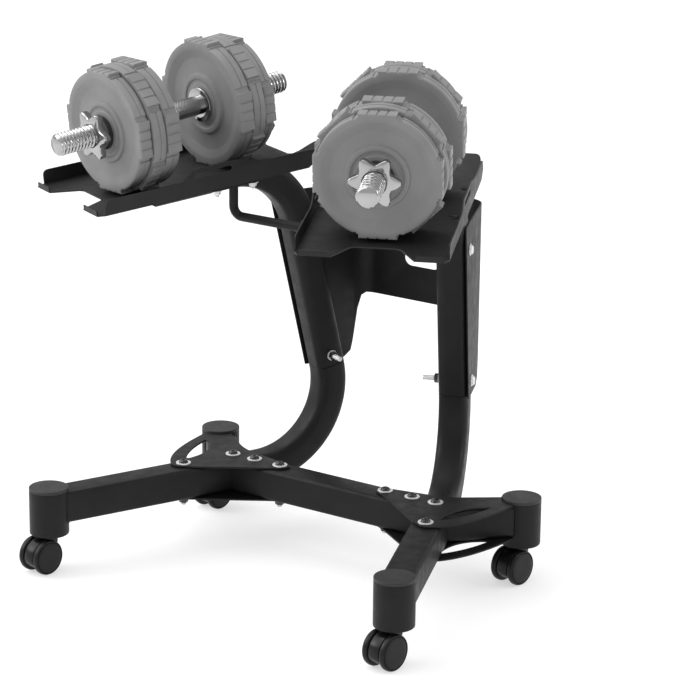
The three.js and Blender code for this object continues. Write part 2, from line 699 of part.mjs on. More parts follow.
function tubeRing(r, inner, x0, x1, sides = 16) {
  return solid(lathed([[x0, inner], [x0, r], [x1, r], [x1, inner], [x0, inner]], sides));
}

// A shape in the plane across the bar, thickened along it.
const across = (shape, x0, thick) =>
  solid(extruded(shape, thick, 8), basis([0, 1, 0], [0, 0, 1], [1, 0, 0], [x0, 0, 0]));

function dumbbells() {
  const put = (name, manifold, material) => {
    for (const [side, matrix] of Object.entries(BELL_PLACES)) {
      addGeometry(`${name}_${side}`, moved(geometryOf(manifold), matrix), material);
    }
  };
  put("dumbbell_bar", bar(), CHROME);
  const flip = new THREE.Matrix4().makeRotationZ(Math.PI);
  for (const [end, turnRound] of [["back", NOWHERE], ["front", flip]]) {
    const place = (name, manifold, material) =>
      put(`${name}_${end}`, solid(geometryOf(manifold), turnRound), material);
    let x = GRIP.half + COLLAR.t + GAP;
    for (const plate of PLATES) {
      place(`plate_${plate.name}`, across(plateShape(plate), x, plate.thick), PLATE_PLASTIC);
      x += plate.thick + GAP;
    }
    place("lock_ring", tubeRing(RING.r, THREAD_R + 0.4, x, x + RING.t), RUBBER);
    x += RING.t + GAP;
    const hub = tubeRing(STAR.valley - 2, THREAD_R + 0.4, x, x + STAR.hub + 1);
    place("star_nut", across(starShape(), x + STAR.hub, STAR.t - STAR.hub).add(hub), CHROME);
  }
}

baseBeam();
legs();
gussets();
gussetBolts();
lowerPosts();
upperPosts();
backPanel();
trays();
carryHandle();
casters();
dumbbells();

// The part's origin is on the floor under the middle of the whole object.
const middle = new THREE.Box3().setFromObject(group).getCenter(new THREE.Vector3());
group.position.y = -middle.y;

export default group;
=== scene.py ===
# %% [markdown]
# # A wheeled dumbbell stand with a pair of adjustable dumbbells
# The real object is a welded and bolted steel stand in satin black, with two bent-sheet trays, and
# a dumbbell lying on each. The solid model already fixes every size and every joint. This lesson
# gives each part its visible surface: rounded tube corners, rolled edges, threads, moulded plates.
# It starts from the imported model, so that every new surface can be placed by the solids it covers.

import math

import bmesh
import bpy
import numpy as np
from mathutils import Matrix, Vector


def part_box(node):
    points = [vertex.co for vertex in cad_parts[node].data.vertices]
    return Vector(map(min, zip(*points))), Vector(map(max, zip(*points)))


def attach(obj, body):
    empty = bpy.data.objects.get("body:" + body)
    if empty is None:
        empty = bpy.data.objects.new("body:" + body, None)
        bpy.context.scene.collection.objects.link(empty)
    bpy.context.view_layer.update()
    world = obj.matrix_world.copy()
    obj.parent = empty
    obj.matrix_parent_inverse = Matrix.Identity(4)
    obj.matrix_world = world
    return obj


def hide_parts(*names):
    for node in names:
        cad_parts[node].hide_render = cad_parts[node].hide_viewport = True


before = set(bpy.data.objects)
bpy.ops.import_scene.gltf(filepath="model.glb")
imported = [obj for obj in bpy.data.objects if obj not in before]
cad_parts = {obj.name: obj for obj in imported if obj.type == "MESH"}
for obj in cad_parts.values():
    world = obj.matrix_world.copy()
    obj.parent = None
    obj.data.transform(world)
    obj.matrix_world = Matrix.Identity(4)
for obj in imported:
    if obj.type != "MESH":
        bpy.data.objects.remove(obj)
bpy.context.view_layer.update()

# %% [markdown]
# ## Working units
# A workshop drawing is in millimetres from the middle of the base beam, so that is how the shapes
# below are written. One function turns such points into metres in the model's frame. The other
# choice, writing everything in metres, makes small radii hard to read.

# %% Millimetres from the beam to metres in the frame
MM = 0.001
beam_low, beam_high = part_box("base_beam")
BEAM_Y = (beam_low.y + beam_high.y) / 2


def metres(points):
    """Point times 0.001, then moved back by the beam's own place."""
    return np.asarray(points, float) * MM + np.array([0, BEAM_Y, 0])


def unit(vector):
    """A vector, or each row of vectors, divided by its length."""
    v = np.asarray(vector, float)
    return v / np.linalg.norm(v, axis=-1, keepdims=True)


print("beam axis at y =", round(BEAM_Y, 5), "m")

# %% [markdown]
# ## Surfaces as grids
# Nearly every piece is a sheet of points with two directions, such as round and along. A grid of
# n by m points gives its faces by counting alone, so no loop visits a single point. Where a grid is
# wrapped it becomes a tube, and wrapped both ways it is a closed ring with no open seam.


# %% A grid of points as a shell of faces
def grid(points, wrap=(False, False), ends=False):
    """Point (i, j) is joined to (i + 1, j) and (i, j + 1); ends fills the first and last row."""
    n, m, _ = points.shape
    i = np.arange(n if wrap[0] else n - 1)[:, None]
    j = np.arange(m if wrap[1] else m - 1)[None, :]
    i2, j2 = (i + 1) % n, (j + 1) % m
    corners = np.broadcast_arrays(i * m + j, i2 * m + j, i2 * m + j2, i * m + j2)
    quads = np.stack(corners, -1).reshape(-1, 4)
    lids = [list(range(m)), list(range((n - 1) * m, n * m))] if ends else []
    return points.reshape(-1, 3), quads, lids


def fillet(points, reach, steps=4, closed=True):
    """Each corner p becomes the curve (1-t)^2 a + 2t(1-t) p + t^2 b, with a and b `reach` from p."""
    p = np.asarray(points, float)
    reach = np.broadcast_to(np.asarray(reach, float), len(p))
    cut = []
    for q in (np.roll(p, 1, 0), np.roll(p, -1, 0)):
        length = np.linalg.norm(q - p, axis=1)
        cut.append(p + (np.minimum(reach, 0.48 * length) / length)[:, None] * (q - p))
    t = np.linspace(0, 1, steps + 1)[None, :, None]
    curve = (1 - t) ** 2 * cut[0][:, None] + 2 * t * (1 - t) * p[:, None] + t**2 * cut[1][:, None]
    if closed:
        return curve.reshape(-1, p.shape[1])
    return np.vstack([p[:1], curve[1:-1].reshape(-1, p.shape[1]), p[-1:]])


def carry(section, at, across, up):
    """Point (i, j) is at[i] + section[j, 0] * across[i] + section[j, 1] * up[i]."""
    section = np.asarray(section, float)
    if section.ndim == 2:
        section = np.broadcast_to(section, (len(at), *section.shape))
    return at[:, None] + section[..., :1] * across[:, None] + section[..., 1:] * up[:, None]


def lathe(profile, at, axis, sides=48, closed=False):
    """Turns (along, radius) points round an axis: point (i, j) is at angle 2 pi i / sides."""
    axis = unit(axis)
    side = unit(np.cross(axis, [0.31, 0.17, 0.94]))
    angle = np.arange(sides)[:, None] * 2 * np.pi / sides
    ring = np.cos(angle) * side + np.sin(angle) * np.cross(axis, side)
    along, radius = np.asarray(profile, float).T
    points = np.asarray(at, float) + along[None, :, None] * axis + radius[None, :, None] * ring[:, None]
    return grid(points, wrap=(True, closed))


# %% [markdown]
# ## Cut sheets
# Gussets and plates are laser-cut sheet. Blender's own flat curve fills an outline with holes in
# it and rounds its rim, which a grid can't do when the outline is free, so these pieces start as a
# curve that is turned into a mesh before it is put in place.


# %% A flat sheet with rounded rims
def cut_sheet(loops, thick, rim, place):
    """Fills the first loop less the others, `thick` high, and sends each point through `place`."""
    curve = bpy.data.curves.new("cut_sheet", "CURVE")
    curve.dimensions = "2D"
    curve.fill_mode = "BOTH"
    curve.extrude = thick / 2 - rim
    curve.bevel_depth = rim
    curve.bevel_resolution = 1
    curve.offset = -rim
    for loop in loops:
        spline = curve.splines.new("POLY")
        spline.points.add(len(loop) - 1)
        rows = np.column_stack([loop, np.zeros(len(loop)), np.ones(len(loop))])
        spline.points.foreach_set("co", rows.ravel())
        spline.use_cyclic_u = True
    sheet = bpy.data.objects.new("cut_sheet", curve)
    mesh = bpy.data.meshes.new_from_object(sheet)
    flat = np.empty(len(mesh.vertices) * 3)
    mesh.vertices.foreach_get("co", flat)
    faces = [list(face.vertices) for face in mesh.polygons]
    bpy.data.objects.remove(sheet)
    bpy.data.curves.remove(curve)
    bpy.data.meshes.remove(mesh)
    return place(flat.reshape(-1, 3)), np.empty((0, 4), int), faces


def bezier(*points, steps=16):
    """Points of a quadratic or cubic curve, as the sum of its corners times Bernstein's weights."""
    p = np.asarray(points, float)
    degree = len(p) - 1
    t = np.linspace(0, 1, steps + 1)[1:, None]
    weights = [math.comb(degree, k) * (1 - t) ** (degree - k) * t**k for k in range(degree + 1)]
    return sum(w * q for w, q in zip(weights, p))


# %% [markdown]
# ## Pieces
# A piece joins its shells in one mesh, welds the seams and turns every face outward. The stand is
# the same on both sides, so the right-hand shells are written once and mirrored; mirroring turns a
# shell inside out, which is why the faces are turned again for every piece.


# %% From shells to a finished piece
def mirrored(shells):
    """x becomes -x."""
    return [(points * np.array([-1, 1, 1]), quads, lids) for points, quads, lids in shells]


SIDES = {"right": list, "left": mirrored}


def piece(name, shells, finish, body, stands_for=None, crease=30):
    """One object from shells in millimetres; edges sharper than `crease` degrees stay sharp."""
    points, faces, start = [], [], 0
    for shell_points, quads, lids in shells:
        points.append(metres(shell_points))
        faces += (quads + start).tolist()
        faces += [[k + start for k in lid] for lid in lids]
        start += len(shell_points)
    mesh = bpy.data.meshes.new(name)
    mesh.from_pydata(np.vstack(points).tolist(), [], faces)
    weld = bmesh.new()
    weld.from_mesh(mesh)
    return finished(name, weld, mesh, finish, body, stands_for, crease)


def finished(name, weld, mesh, finish, body, stands_for, crease):
    """Welds doubles, turns the faces out, and gives the piece its body and material."""
    bmesh.ops.remove_doubles(weld, verts=weld.verts, dist=2e-6)
    bmesh.ops.dissolve_degenerate(weld, edges=weld.edges, dist=1e-7)
    bmesh.ops.recalc_face_normals(weld, faces=weld.faces)
    weld.to_mesh(mesh)
    weld.free()
    mesh.shade_smooth()
    mesh.set_sharp_from_angle(angle=math.radians(crease))
    mesh.materials.append(finish)
    made = bpy.data.objects.new(name, mesh)
    bpy.context.scene.collection.objects.link(made)
    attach(made, body)
    if stands_for:
        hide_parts(stands_for)
    return made


def pair(name, shells, finish, body, stands_for=None, crease=30):
    """The right-hand piece and its mirror image; {side} in a name is filled in."""
    for side, turned in SIDES.items():
        node = stands_for.format(side=side) if stands_for else None
        piece(f"{name}_{side}", turned(shells), finish, body.format(side=side), node, crease)


# %% [markdown]
# ## Finishes
# Powder coat is a baked plastic skin: satin, with a faint orange-peel ripple about a millimetre
# wide. Moulded plastic has a finer, sharper grain. Plated steel is close to a mirror, dulled here
# and there by handling. All of them are noise in the object's own coordinates, at real scale, feeding
# colour, roughness and bump; a picture would have to be unwrapped and would stretch on the bends.


# %% A finish from layered noise
DRIFT_WAVES = 18.0


def noise(tree, scale, detail):
    """Noise with `scale` waves to the metre."""
    place = tree.nodes.new("ShaderNodeTexCoord")
    wave = tree.nodes.new("ShaderNodeTexNoise")
    wave.inputs["Scale"].default_value = scale
    wave.inputs["Detail"].default_value = detail
    tree.links.new(place.outputs["Object"], wave.inputs["Vector"])
    return wave.outputs["Fac"]


def spread(tree, value, low, high):
    """A noise value from 0.3 to 0.7, stretched to run from low to high."""
    node = tree.nodes.new("ShaderNodeMapRange")
    node.inputs["From Min"].default_value = 0.3
    node.inputs["From Max"].default_value = 0.7
    node.inputs["To Min"].default_value = low
    node.inputs["To Max"].default_value = high
    tree.links.new(value, node.inputs["Value"])
    return node.outputs["Result"]


def surface(name, dark, light, rough, grain, depth, metal=0.0, ior=1.5):
    """Colour drifts between dark and light, roughness between two values, and grain gives bump."""
    material = bpy.data.materials.new(name)
    material.use_nodes = True
    tree = material.node_tree
    shader = tree.nodes["Principled BSDF"]
    shader.inputs["Metallic"].default_value = metal
    shader.inputs["IOR"].default_value = ior
    mix = tree.nodes.new("ShaderNodeMix")
    mix.data_type = "RGBA"
    mix.inputs["A"].default_value = (*dark, 1)
    mix.inputs["B"].default_value = (*light, 1)
    drift = noise(tree, DRIFT_WAVES, 4)
    tree.links.new(spread(tree, drift, 0, 1), mix.inputs["Factor"])
    tree.links.new(mix.outputs["Result"], shader.inputs["Base Color"])
    fine = noise(tree, grain, 3)
    wear = noise(tree, DRIFT_WAVES * 3, 5)
    tree.links.new(spread(tree, wear, *rough), shader.inputs["Roughness"])
    bump = tree.nodes.new("ShaderNodeBump")
    bump.inputs["Strength"].default_value = 1
    bump.inputs["Distance"].default_value = depth * MM
    tree.links.new(fine, bump.inputs["Height"])
    tree.links.new(bump.outputs["Normal"], shader.inputs["Normal"])
    return material


def grey(level, warm=0.0):
    """A neutral colour, with a touch of red and less blue where warm is above 0."""
    return (level * (1 + warm), level, level * (1 - warm))


powder_coat = surface("powder_coat_black", grey(0.006), grey(0.009), (0.4, 0.55), 750, 0.05, ior=1.3)
tray_coat = surface("powder_coat_tray", grey(0.011), grey(0.015), (0.42, 0.55), 750, 0.05, ior=1.35)
# Cap colour: the black is the plastic's own, but its extra lightness over the powder coat is painted
# light, standing in for the light from above that falls on the cap tops.
cap_skin_painted_light = surface("cap_grained_black", grey(0.02), grey(0.026), (0.45, 0.6), 1400, 0.06, ior=1.4)
caster_nylon = surface("caster_nylon_black", grey(0.004), grey(0.007), (0.24, 0.36), 500, 0.01, ior=1.32)
wheel_nylon = surface("wheel_nylon_black", grey(0.005), grey(0.009), (0.3, 0.44), 600, 0.02, ior=1.3)
bolt_black = surface("bolt_black_oxide", grey(0.003), grey(0.006), (0.1, 0.18), 900, 0.004, ior=1.6)
zinc_plate = surface("zinc_plate", grey(0.7), grey(0.8, 0.01), (0.3, 0.42), 900, 0.004, metal=0.5)
chrome_plate = surface("chrome_plate", grey(0.36), grey(0.44), (0.12, 0.2), 420, 0.004, metal=1)
plate_plastic = surface("plate_moulded_grey", grey(0.19), grey(0.23), (0.42, 0.56), 1600, 0.03, ior=1.4)
ring_rubber = surface("ring_rubber_black", grey(0.015), grey(0.022), (0.7, 0.85), 1100, 0.05)
print("finishes:", len(bpy.data.materials))

# %% [markdown]
# ## Base beam and legs
# The base is square tube with rolled corners, hollow, 2 mm thick. A tube is its section carried
# along a line: out along the outside and back along the inside, wrapped both ways, which also
# makes its end faces. The legs meet the beam at a slant, so each point of their section slides
# along the leg until it reaches the beam's face, as a mitre saw would cut it.

# %% Square tube
GAP = 0.3
WALL = 2.0
TUBE = 50.0
TUBE_TOP = 129.0
TUBE_BOTTOM = TUBE_TOP - TUBE
TUBE_MID = TUBE_TOP - TUBE / 2
BEAM_HALF = 212.0
TUBE_CORNER = 7.0
CUP_R = 31.0
FRONT_CUP = np.array([325, -305.5])
BACK_CUP = np.array([292.8, 95.6])


def rounded_box(width, height, corner, steps=5):
    """A rectangle's four corners, each rounded."""
    a, b = width / 2, height / 2
    return fillet([[a, b], [-a, b], [-a, -b], [a, -b]], corner, steps)


def both_walls(make):
    """make(section growth) for the outside and for the inside, joined end to end."""
    return grid(np.concatenate([make(0.0), make(-WALL)[::-1]]), wrap=(True, True))


def square_section(grow):
    return rounded_box(TUBE + 2 * grow, TUBE + 2 * grow, TUBE_CORNER + grow)


def beam_wall(grow):
    x = np.array([-BEAM_HALF, BEAM_HALF])
    at = np.column_stack([x, [0, 0], [TUBE_MID, TUBE_MID]])
    return carry(square_section(grow), at, np.array([[0, 1, 0]] * 2), np.array([[0, 0, 1]] * 2))


piece("beam_tube", [both_walls(beam_wall)], powder_coat, "stand", "base_beam")


# %% Legs, their cups and the welds between them
def leg_shells(start, cup, leaves_joint):
    """A tube from the joint to its cup; `leaves_joint` says how far along each section point starts."""
    direction = unit(cup - start)
    side = np.array([-direction[1], direction[0]])
    length = np.linalg.norm(cup - start)

    def wall(grow):
        section = square_section(grow)
        roots = start + section[:, :1] * side
        near = leaves_joint(roots, direction)
        far = np.full(len(section), length - CUP_R + 11)
        rows = []
        for reach in (near, far):
            plan = roots + reach[:, None] * direction
            rows.append(np.column_stack([plan, TUBE_MID + section[:, 1]]))
        return np.array(rows)

    section = square_section(0.4)
    reach = length - np.sqrt(CUP_R**2 - section[:, 0] ** 2) + 0.2
    plan = start + section[:, :1] * side + reach[:, None] * direction
    seam = np.column_stack([plan, TUBE_MID + section[:, 1]])
    return both_walls(wall), weld_bead(seam, 1.5)


def weld_bead(seam, radius):
    """A round bead along a closed seam, thicker and thinner as radius * (1 + 0.15 sin)."""
    points = np.repeat(seam, 3, axis=0).reshape(len(seam), 3, 3)
    step = np.linspace(0, 1, 3, endpoint=False)[None, :, None]
    path = (points * (1 - step) + np.roll(seam, -1, 0)[:, None] * step).reshape(-1, 3)
    ahead = unit(np.roll(path, -1, 0) - np.roll(path, 1, 0))
    outward = unit(path - seam.mean(0))
    across = unit(np.cross(ahead, outward))
    up = np.cross(across, ahead)
    ripple = radius * (1 + 0.15 * np.sin(np.arange(len(path)) * 1.9))
    angle = np.linspace(0, 2 * np.pi, 8, endpoint=False)
    ring = np.stack([np.cos(angle), np.sin(angle)], 1)[None] * ripple[:, None, None]
    return grid(carry(ring, path, across, up), wrap=(True, True))


def cup_shell(at):
    profile = fillet(
        [[74, 5.5], [60, 5.5], [60, CUP_R], [131, CUP_R], [131, CUP_R - WALL], [74, CUP_R - WALL]],
        [0.5, 0.5, 2.5, 0.6, 0.4, 1],
        3,
    )
    return lathe(profile, [*at, 0], [0, 0, 1], 72, closed=True)


def slides_to_beam_front(roots, direction):
    """(face - y) / dy: how far to go until y is the beam's front face."""
    return (-TUBE / 2 - GAP - roots[:, 1]) / direction[1]


POST_TOE = math.radians(24)
POST_FOOT = np.array([125.5, 158.0, 0.0])
PLANE_BACK = np.array([-math.sin(POST_TOE), math.cos(POST_TOE), 0])
PLANE_SIDE = np.array([math.cos(POST_TOE), math.sin(POST_TOE), 0])


def slides_clear_of_beam(roots, direction):
    """Far enough to pass the beam's end, or else its back face and the post's side."""
    past_end = (BEAM_HALF + GAP - roots[:, 0]) / direction[0]
    past_back = (TUBE / 2 + GAP - roots[:, 1]) / direction[1]
    beside = (roots - POST_FOOT[:2]) @ PLANE_SIDE[:2]
    past_post = (24.6 - beside) / (direction @ PLANE_SIDE[:2])
    return np.maximum(0, np.minimum(past_end, np.maximum(past_back, past_post)))


for name, start, cup, rule in (
    ("front_leg", [197, 0], FRONT_CUP, slides_to_beam_front),
    ("back_leg", [207.4, -7.3], BACK_CUP, slides_clear_of_beam),
):
    shells = [*leg_shells(np.array(start, float), cup, rule), cup_shell(cup)]
    pair(f"{name}_welded", shells, powder_coat, "stand", name + "_{side}")

# %% [markdown]
# ## Leg caps
# Each cup is closed by a pressed-in plastic disc as wide as the cup, with a soft top edge and a
# thin seam below it. It is turned on a lathe from its half section.

# %% Turned caps
CAP_SEAM = 131.3
CAP_TOP = 136.3
PLUG_R = CUP_R - WALL - GAP
cap_profile = fillet(
    [
        [123, 0], [123, PLUG_R], [CAP_SEAM, PLUG_R],
        [CAP_SEAM, CUP_R], [CAP_TOP, CUP_R], [CAP_TOP - 0.4, 0],
    ],
    [0.5, 1, 0.5, 0.4, 1.6, 0.5],
    5,
    closed=False,
)
for name, at in (("front_leg_cap", FRONT_CUP), ("back_leg_cap", BACK_CUP)):
    disc = lathe(cap_profile, [*at, 0], [0, 0, 1], 72)
    pair(f"{name}_disc", [disc], cap_skin_painted_light, "stand", name + "_{side}")

# %% [markdown]
# ## Gusset plates
# Two laser-cut plates clamp the beam, the legs and the post's foot between them on each side. The
# outline is a few straight runs and soft curves, with a leaf-shaped window. Curves by their corner
# points are easy to read off a drawing, so the outline is a chain of them.

# %% Gusset outline and plates
gusset_outline = np.vstack([
    [[100, 14]],
    bezier([100, 14], [84, 12], [87, 0]),
    bezier([87, 0], [89, -12], [104, -16]),
    [[222, -94]],
    bezier([222, -94], [236, -104], [248, -95]),
    bezier([248, -95], [272, -74], [292, -30], [299, 60], steps=28),
    [[280, 96], [262, 84], [213, 46]],
    bezier([213, 46], [190, 30], [160, 26]),
])
leaf_window = np.vstack([
    bezier([243, -62], [259, -42], [272, -8], [276, 32], steps=20),
    bezier([276, 32], [252, 18], [228, -8], [243, -62], steps=24)[:-1],
])
BOLTS = {"a": (101.8, 0), "b": (152.1, 0), "c": (195.4, 0), "d": (232, -83.3)}
BOLT_R = 4.0


def circle(centre, radius, count=32):
    """centre + radius (cos a, sin a)."""
    a = np.linspace(0, 2 * np.pi, count, endpoint=False)
    return np.asarray(centre) + radius * np.column_stack([np.cos(a), np.sin(a)])


GUSSET_T = 3.0
GUSSET_MID = {"top": TUBE_TOP + 0.4 + GUSSET_T / 2, "bottom": TUBE_BOTTOM - 0.4 - GUSSET_T / 2}
bolt_holes = [circle(at, BOLT_R + 0.5, 16) for at in BOLTS.values()]


def round_the_cup(points):
    """Points inside the back cup's ring are pushed out to it."""
    offset = points - BACK_CUP
    distance = np.linalg.norm(offset, axis=1, keepdims=True)
    inside = distance < CUP_R + GAP
    return np.where(inside, BACK_CUP + offset / distance * (CUP_R + GAP), points)


dense_outline = np.concatenate([
    gusset_outline[:-1, None] * (1 - t) + gusset_outline[1:, None] * t
    for t in [np.linspace(0, 1, 10, endpoint=False)[None, :, None]]
]).reshape(-1, 2)
gusset_edge = round_the_cup(dense_outline)
for level, height in GUSSET_MID.items():
    plate = cut_sheet(
        [gusset_edge, leaf_window, *bolt_holes], GUSSET_T, 0.7,
        lambda flat, height=height: flat + np.array([0, 0, height]),
    )
    pair(
        f"gusset_{level}_plate", [plate], powder_coat, "stand",
        f"gusset_{level}_" + "{side}", crease=20,
    )

# %% [markdown]
# ## Bolts
# The gussets show one kind of fastener: a black button head with a hex socket, on a wide bright
# washer, and on the far side a washer, a black nut and a short end of thread. The panel's bolts
# are the same with bright heads. The shape is made once, along its own axis, and placed by a point
# and a direction.


# %% Bolt parts along an axis
def axes_for(direction):
    """Two unit vectors across a direction, and the direction."""
    z = unit(direction)
    x = unit(np.cross([0.2, 0.9, 0.1], z))
    return np.array([x, np.cross(z, x), z])


def along(at, direction):
    """Local (x, y, z) becomes at + x X + y Y + z Z, with Z the direction."""
    frame_rows = axes_for(direction)
    return lambda points: np.asarray(at, float) + points @ frame_rows


def six_sided(points_r, points_z, place, sides=6, per_side=8):
    """Rings whose radius is r / cos(angle from the flat's middle): flats at distance r."""
    a = np.linspace(0, 2 * np.pi, sides * per_side, endpoint=False)
    local = (a + np.pi / sides) % (2 * np.pi / sides) - np.pi / sides
    flat = 1 / np.cos(local)
    r = np.asarray(points_r, float)[:, None] * flat[None]
    z = np.broadcast_to(np.asarray(points_z, float)[:, None], r.shape)
    rings = np.stack([r * np.cos(a), r * np.sin(a), z], -1)
    return place(rings.reshape(-1, 3)).reshape(rings.shape)


def button_head(at, direction, r=7.5, height=4.2):
    """A low dome with a six-sided socket: round rings outside and six-sided rings inside."""
    place = along(at, direction)
    a = np.linspace(0, np.pi / 2, 9)
    dome_r = np.concatenate([[r * 0.55, r], 3.4 + (r - 3.4) * np.cos(a)])
    dome_z = np.concatenate([[0, 0], 0.6 + (height - 0.6) * np.sin(a)])
    turn = np.linspace(0, 2 * np.pi, 48, endpoint=False)
    rings = np.stack([
        dome_r[:, None] * np.cos(turn), dome_r[:, None] * np.sin(turn),
        np.broadcast_to(dome_z[:, None], (len(dome_r), 48)),
    ], -1)
    socket = six_sided([2.6, 2.5, 2.5, 0.01], [height, height - 0.3, 1.6, 1.3], lambda p: p)
    whole = np.concatenate([rings, socket])
    flat = place(whole.reshape(-1, 3)).reshape(whole.shape)
    shell = grid(flat, wrap=(False, True))
    return shell[0], shell[1], [list(range(48))]


def washer(at, direction, r, hole, thick):
    profile = fillet([[0, hole], [0, r], [thick, r], [thick, hole]], 0.35, 3)
    return lathe(profile, at, direction, 40, closed=True)


def hex_nut(at, direction, across_flats=13.0, height=6.5, hole=BOLT_R):
    """A six-sided prism whose corners are turned down at both faces."""
    half = across_flats / 2
    rings = six_sided(
        [hole, half * 0.93, half, half, half * 0.93, hole],
        [0, 0, 0.7, height - 0.7, height, height],
        along(at, direction),
    )
    return grid(rings, wrap=(True, True))


def thread_end(at, direction, length, r=BOLT_R, pitch=1.25):
    """radius = r - 0.35 * distance of (z / pitch - turn) from the nearest whole number * 2."""
    rows = np.linspace(0, length, int(length / pitch * 6) + 1)[:, None]
    turn = np.linspace(0, 2 * np.pi, 20, endpoint=False)[None, :]
    phase = (rows / pitch - turn / (2 * np.pi)) % 1
    radius = r - 0.7 * np.abs(phase - 0.5)
    radius = np.minimum(radius, r - 0.1 + (length - rows) * 0.8 - 0.6)
    local = np.stack([radius * np.cos(turn), radius * np.sin(turn), rows + 0 * turn], -1)
    place = along(at, direction)
    return grid(place(local.reshape(-1, 3)).reshape(local.shape), wrap=(False, True), ends=True)


def bolt(name, head, nut, direction, tail, stands_for=None, big=12.0, bright_head=False):
    """Head and washer at `head`, washer, nut and `tail` mm of thread beyond `nut`."""
    head, nut, direction = np.asarray(head, float), np.asarray(nut, float), unit(direction)
    bright = [
        washer(head, direction, big, 4.2, 1.8),
        washer(nut - 1.6 * direction, direction, 8.5, 4.2, 1.6),
        thread_end(nut - 2 * direction, -direction, tail),
    ]
    top = button_head(head + 1.8 * direction, direction)
    end = hex_nut(nut - 1.7 * direction, -direction)
    dark = [end]
    (bright if bright_head else dark).append(top)
    pair(f"{name}_bright", bright, zinc_plate, "stand", stands_for)
    pair(f"{name}_dark", dark, bolt_black, "stand")


for letter, (x, y) in BOLTS.items():
    above = GUSSET_MID["top"] + GUSSET_T / 2 + GAP
    below = GUSSET_MID["bottom"] - GUSSET_T / 2 - GAP
    bolt(
        f"gusset_bolt_{letter}", [x, y, above], [x, y, below], [0, 0, 1], 10.5,
        stands_for=f"gusset_bolt_{letter}_" + "{side}",
    )

# %% [markdown]
# ## Posts
# Each post is a rounded tube bent twice in one upright plane. It comes in two lengths: the lower
# one sweeps up from the beam, and the upper one leans forward and turns to run under its tray. A
# line and an arc give the path, with its outward direction known everywhere, so no twisting can
# creep in as it can when Blender works out the direction of a free curve itself.

# %% Paths in a post's plane
POST_W, POST_D, POST_CORNER = 48.0, 50.0, 15.0
POST_LEAN = math.radians(13)
LOW_BEND_R, TOP_BEND_R = 130.0, 120.0
LOW_BEND = np.array([-125.0, 234.0])
TRAY_TOE, TRAY_TILT = math.radians(25), math.radians(6)
TRAY_CORNER = np.array([171, -345, 603.5])
SHEET = 2.0
BRACKET_T = 4.0
lean_normal = np.array([math.cos(POST_LEAN), math.sin(POST_LEAN)])
lean_forward = np.array([-math.sin(POST_LEAN), math.cos(POST_LEAN)])
joint_at = LOW_BEND + LOW_BEND_R * lean_normal


def arc(centre, radius, start, stop, count):
    """centre + radius (cos a, sin a), and the outward direction (cos a, sin a)."""
    a = np.linspace(start, stop, count)
    outward = np.column_stack([np.cos(a), np.sin(a)])
    return np.asarray(centre) + radius * outward, outward


def in_plane(flat):
    """[s, z] becomes foot + s * back + z * up."""
    return POST_FOOT + flat[:, :1] * PLANE_BACK + flat[:, 1:] * np.array([0, 0, 1])


def post_wall(path, outward, ease=()):
    """The section carried along the path; rows named in `ease` are drawn in by 0.8 mm."""
    inset = np.zeros(len(path))
    inset[list(ease)] = 0.8

    def wall(grow):
        sections = np.array([
            rounded_box(POST_W + 2 * g, POST_D + 2 * g, POST_CORNER + g, 7)
            for g in (grow - inset if grow == 0 else grow + 0 * inset)
        ])
        across = np.broadcast_to(PLANE_SIDE, (len(path), 3))
        up = outward[:, :1] * PLANE_BACK + outward[:, 1:] * np.array([0, 0, 1])
        return carry(sections, in_plane(path), across, up)

    return wall


def mitred_at_beam(wall):
    """The first row slides along the foot until y is the beam's back face."""

    def cut(grow):
        rows = wall(grow)
        slide = (TUBE / 2 + GAP - rows[0, :, 1:2]) / PLANE_BACK[1]
        rows[0] = rows[0] + slide * PLANE_BACK
        return rows

    return cut


low_arc, low_out = arc(LOW_BEND, LOW_BEND_R, -np.pi / 2, POST_LEAN, 40)
low_path = np.vstack([[[-150, TUBE_MID]], low_arc, [joint_at + 0.8 * lean_forward]])
low_path[1:] -= 0.8 * lean_forward * np.linspace(0, 1, len(low_path) - 1)[:, None]
low_outward = np.vstack([[[0, -1]], low_out, [lean_normal]])
spigot_path = np.array([joint_at - 10 * lean_forward, joint_at + 50 * lean_forward])
spigot = post_wall(spigot_path, np.array([lean_normal] * 2))
pair(
    "lower_post_tube",
    [
        both_walls(mitred_at_beam(post_wall(low_path, low_outward, ease=[-1]))),
        grid(np.concatenate([spigot(-2.3), spigot(-4.3)[::-1]]), wrap=(True, True)),
    ],
    powder_coat, "stand", "lower_post_{side}",
)

# %% [markdown]
# The upper length's bend is found from two lines: the leaning one, and the one that lies a tube's
# half depth under the tray. Where they cross, the arc starts one tangent length before.

# %% Upper posts with their tray brackets
corner_offset = TRAY_CORNER[:2] - POST_FOOT[:2]
run = corner_offset[0] * math.sin(TRAY_TOE) - corner_offset[1] * math.cos(TRAY_TOE)
slope = math.tan(TRAY_TILT)
drop = (SHEET + GAP + BRACKET_T + POST_D / 2) / math.cos(TRAY_TILT)


def tube_height(s):
    """The tray's height over the tube at s, less the drop to the tube's middle."""
    return TRAY_CORNER[2] + slope * (run + s) - drop


lean = math.tan(POST_LEAN)
cross_s = (joint_at[0] - (tube_height(0) - joint_at[1]) * lean) / (1 + slope * lean)
crossing = np.array([cross_s, tube_height(cross_s)])
turn = math.pi / 2 - POST_LEAN + TRAY_TILT
tangent = TOP_BEND_R * math.tan(turn / 2)
bend_start = crossing - tangent * lean_forward
bend_centre = bend_start - TOP_BEND_R * lean_normal
top_arc, top_out = arc(bend_centre, TOP_BEND_R, POST_LEAN, POST_LEAN + turn, 44)
END_S = -320.0
end_at = np.array([END_S, tube_height(END_S)])
tray_back = unit(crossing - end_at)
first = joint_at + GAP * lean_forward
top_path = np.vstack([
    [first, first + 0.8 * lean_forward, 0.5 * (first + bend_start)],
    top_arc,
    [end_at + 0.8 * tray_back, end_at],
])
top_outward = np.vstack([[lean_normal] * 3, top_out, [top_out[-1]] * 2])

